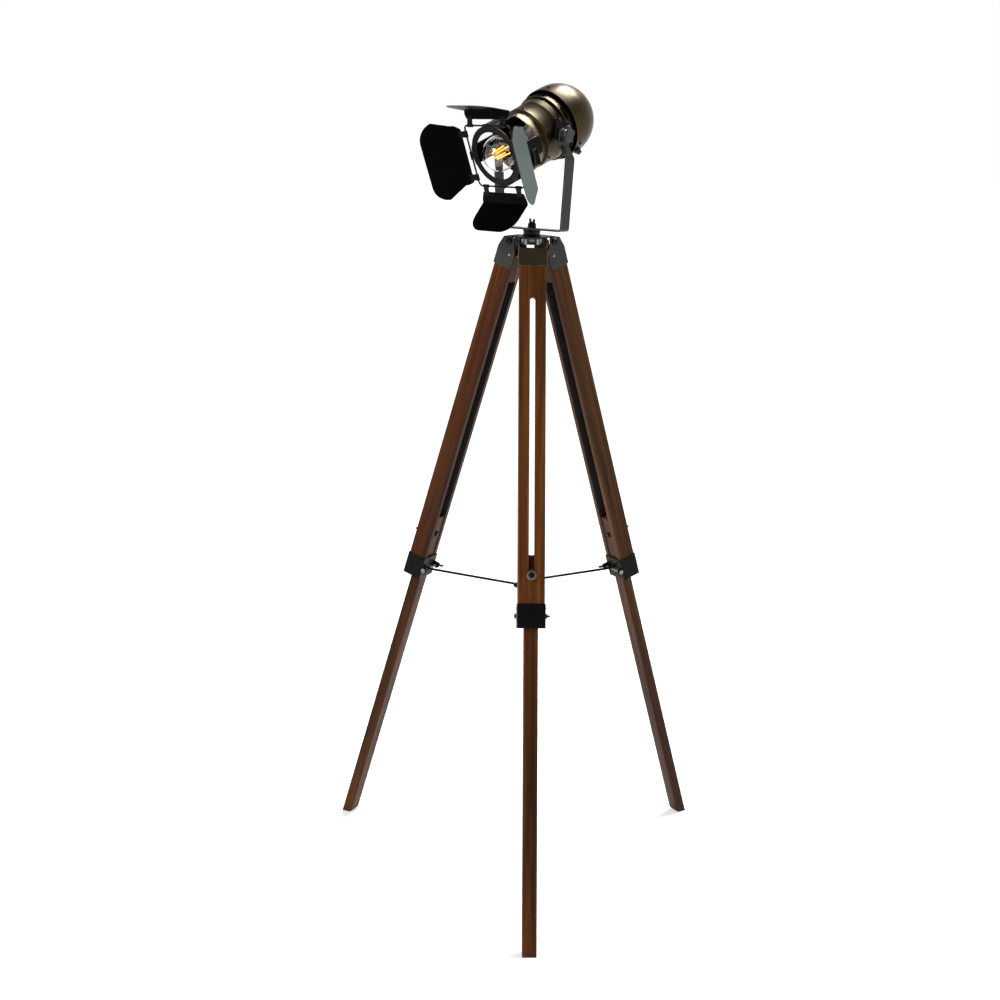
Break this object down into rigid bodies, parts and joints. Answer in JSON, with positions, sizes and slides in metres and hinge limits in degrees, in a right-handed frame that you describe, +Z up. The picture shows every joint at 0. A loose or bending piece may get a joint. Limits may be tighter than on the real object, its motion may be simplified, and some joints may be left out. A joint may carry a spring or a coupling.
{
  "type": "tripod floor lamp",
  "caption": "Floor lamp with a tilting spotlight head, adjustable barn doors and a folding wooden tripod with telescopic legs.",
  "frame": {"origin": "bottom centre of the lamp's bounding box, on the floor", "axes": "+Z up, -Y towards the front leg, +X to the right seen from the front"},
  "size_m": [0.6852, 0.5934, 1.3998],
  "materials": {
    "leg_wood": "oiled, reddish brown",
    "black_metal": "satin black",
    "bracket_metal": "satin brown-black",
    "yoke_grey": "satin dark grey",
    "hub_steel": "turned and brushed",
    "bolt_steel": "zinc plated",
    "can_bronze": "satin dark bronze",
    "rim_bronze": "satin bronze",
    "black_plastic": "satin black",
    "holder_ceramic": "glazed ceramic",
    "cap_brass": "bright",
    "bulb_glass": "clear",
    "filament_amber": "lit amber"
  },
  "bodies": {
    "crown": {"crown_hub": "hub_steel", "crown_plate": "bracket_metal", "centre_bolt": "black_metal", "front_hinge_screw_a": "black_metal", "front_hinge_screw_b": "black_metal", "right_hinge_screw_a": "black_metal", "right_hinge_screw_b": "black_metal", "left_hinge_screw_a": "black_metal", "left_hinge_screw_b": "black_metal"},
    "spreader": {"spreader_plate": "black_metal"},
    "front_leg": {"front_top_bracket": "bracket_metal", "front_upper_leg": "leg_wood", "front_collar": "black_metal", "front_collar_bolt": "bolt_steel"},
    "front_foot": {"front_lower_leg": "leg_wood", "front_slot_bolt": "bolt_steel"},
    "front_rod": {"front_spreader_rod": "black_metal"},
    "front_collar_nut": {"front_collar_wing_nut": "black_metal"},
    "front_slot_nut": {"front_slot_wing_nut": "black_plastic"},
    "right_leg": {"right_top_bracket": "bracket_metal", "right_upper_leg": "leg_wood", "right_collar": "black_metal", "right_collar_bolt": "bolt_steel"},
    "right_foot": {"right_lower_leg": "leg_wood", "right_slot_bolt": "bolt_steel"},
    "right_rod": {"right_spreader_rod": "black_metal"},
    "right_collar_nut": {"right_collar_wing_nut": "black_metal"},
    "right_slot_nut": {"right_slot_wing_nut": "black_plastic"},
    "left_leg": {"left_top_bracket": "bracket_metal", "left_upper_leg": "leg_wood", "left_collar": "black_metal", "left_collar_bolt": "bolt_steel"},
    "left_foot": {"left_lower_leg": "leg_wood", "left_slot_bolt": "bolt_steel"},
    "left_rod": {"left_spreader_rod": "black_metal"},
    "left_collar_nut": {"left_collar_wing_nut": "black_metal"},
    "left_slot_nut": {"left_slot_wing_nut": "black_plastic"},
    "yoke_nut": {"yoke_wing_nut": "black_metal"},
    "yoke": {"swivel_collar": "black_metal", "yoke": "yoke_grey"},
    "head": {"can_rear": "can_bronze", "can_front": "can_bronze", "front_rim": "rim_bronze", "dome_cap": "can_bronze", "cable_gland": "black_plastic", "right_tilt_bracket": "black_metal", "left_tilt_bracket": "black_metal", "holder_bracket": "bolt_steel", "lampholder": "holder_ceramic", "bulb_cap": "cap_brass", "bulb_glass": "bulb_glass", "filaments": "filament_amber", "barn_ring": "black_metal", "wire_frame": "black_metal"},
    "right_tilt_knob": {"right_tilt_knob": "black_plastic"},
    "left_tilt_knob": {"left_tilt_knob": "black_plastic"},
    "right_door": {"right_door": "black_metal"},
    "top_door": {"top_door": "black_metal"},
    "left_door": {"left_door": "black_metal"},
    "bottom_door": {"bottom_door": "black_metal"}
  },
  "joints": [
    {"name": "front_leg_fold", "type": "hinge", "parent": "crown", "child": "front_leg", "pos_m": [0, 0.06076, 1.136], "axis": [1, 0, 0], "range_deg": [0, 15.3]},
    {"name": "front_leg_slide", "type": "slide", "parent": "front_leg", "child": "front_foot", "axis": [0, 0.2964, 0.9551], "range_m": [0, 0.45]},
    {"name": "front_rod_hinge", "type": "hinge", "parent": "front_leg", "child": "front_rod", "pos_m": [0, -0.10506, 0.52573], "axis": [1, 0, 0], "range_deg": [0, 71.9]},
    {"name": "front_collar_nut_turn", "type": "hinge", "parent": "front_leg", "child": "front_collar_nut", "pos_m": [0.0242, -0.10506, 0.52573], "axis": [1, 0, 0], "range_deg": [0, 180]},
    {"name": "front_slot_nut_turn", "type": "hinge", "parent": "front_foot", "child": "front_slot_nut", "pos_m": [0, -0.12377, 0.60273], "axis": [0, -0.9551, 0.2964], "range_deg": [0, 180]},
    {"name": "right_leg_fold", "type": "hinge", "parent": "crown", "child": "right_leg", "pos_m": [0.02702, 0.10756, 1.136], "axis": [-0.5, 0.866, 0], "range_deg": [0, 15.3]},
    {"name": "right_leg_slide", "type": "slide", "parent": "right_leg", "child": "right_foot", "axis": [-0.2567, -0.1482, 0.9551], "range_m": [0, 0.45]},
    {"name": "right_rod_hinge", "type": "hinge", "parent": "right_leg", "child": "right_rod", "pos_m": [0.17062, 0.19047, 0.52573], "axis": [-0.5, 0.866, 0], "range_deg": [0, 71.9]},
    {"name": "right_collar_nut_turn", "type": "hinge", "parent": "right_leg", "child": "right_collar_nut", "pos_m": [0.15852, 0.21143, 0.52573], "axis": [-0.5, 0.866, 0], "range_deg": [0, 180]},
    {"name": "right_slot_nut_turn", "type": "hinge", "parent": "right_foot", "child": "right_slot_nut", "pos_m": [0.18683, 0.19983, 0.60273], "axis": [0.8271, 0.4775, 0.2964], "range_deg": [0, 180]},
    {"name": "left_leg_fold", "type": "hinge", "parent": "crown", "child": "left_leg", "pos_m": [-0.02702, 0.10756, 1.136], "axis": [-0.5, -0.866, 0], "range_deg": [0, 15.3]},
    {"name": "left_leg_slide", "type": "slide", "parent": "left_leg", "child": "left_foot", "axis": [0.2567, -0.1482, 0.9551], "range_m": [0, 0.45]},
    {"name": "left_rod_hinge", "type": "hinge", "parent": "left_leg", "child": "left_rod", "pos_m": [-0.17062, 0.19047, 0.52573], "axis": [-0.5, -0.866, 0], "range_deg": [0, 71.9]},
    {"name": "left_collar_nut_turn", "type": "hinge", "parent": "left_leg", "child": "left_collar_nut", "pos_m": [-0.15852, 0.21143, 0.52573], "axis": [0.5, 0.866, 0], "range_deg": [0, 180]},
    {"name": "left_slot_nut_turn", "type": "hinge", "parent": "left_foot", "child": "left_slot_nut", "pos_m": [-0.18683, 0.19983, 0.60273], "axis": [-0.8271, 0.4775, 0.2964], "range_deg": [0, 180]},
    {"name": "spreader_rise", "type": "slide", "parent": "crown", "child": "spreader", "axis": [0, 0, 1], "range_m": [0, 0.1148]},
    {"name": "yoke_nut_turn", "type": "hinge", "parent": "crown", "child": "yoke_nut", "pos_m": [0, 0.09196, 1.1592], "axis": [0, 0, 1], "range_deg": [0, 180]},
    {"name": "yoke_pan", "type": "hinge", "parent": "crown", "child": "yoke", "pos_m": [0, 0.09196, 0], "axis": [0, 0, 1], "range_deg": [-175, 175]},
    {"name": "head_tilt", "type": "hinge", "parent": "yoke", "child": "head", "pos_m": [0, 0.09196, 1.3153], "axis": [-0.6856, 0.728, 0], "range_deg": [-5, 75]},
    {"name": "right_tilt_knob_turn", "type": "hinge", "parent": "yoke", "child": "right_tilt_knob", "pos_m": [0, 0.09196, 1.3153], "axis": [0.6856, -0.728, 0], "range_deg": [0, 180]},
    {"name": "left_tilt_knob_turn", "type": "hinge", "parent": "yoke", "child": "left_tilt_knob", "pos_m": [0, 0.09196, 1.3153], "axis": [-0.6856, 0.728, 0], "range_deg": [0, 180]},
    {"name": "right_door_swing", "type": "hinge", "parent": "head", "child": "right_door", "pos_m": [-0.03157, -0.01077, 1.27797], "axis": [0.2701, 0.2544, -0.9286], "range_deg": [-32, 35]},
    {"name": "top_door_swing", "type": "hinge", "parent": "head", "child": "top_door", "pos_m": [-0.08237, 0.0144, 1.32733], "axis": [0.6856, -0.728, 0], "range_deg": [-20, 40]},
    {"name": "left_door_swing", "type": "hinge", "parent": "head", "child": "left_door", "pos_m": [-0.10445, 0.06661, 1.27797], "axis": [-0.2701, -0.2544, 0.9286], "range_deg": [-40, 35]},
    {"name": "bottom_door_swing", "type": "hinge", "parent": "head", "child": "bottom_door", "pos_m": [-0.05365, 0.04144, 1.22862], "axis": [-0.6856, 0.728, 0], "range_deg": [-15, 35]}
  ],
  "couplings": [
    {"joint": "front_rod_hinge", "follows": "front_leg_fold", "ratio": 4.694},
    {"joint": "right_leg_fold", "follows": "front_leg_fold", "ratio": 1},
    {"joint": "right_rod_hinge", "follows": "front_leg_fold", "ratio": 4.694},
    {"joint": "left_leg_fold", "follows": "front_leg_fold", "ratio": 1},
    {"joint": "left_rod_hinge", "follows": "front_leg_fold", "ratio": 4.694},
    {"joint": "spreader_rise", "follows": "front_leg_fold", "m_per_rad": 0.4297}
  ]
}
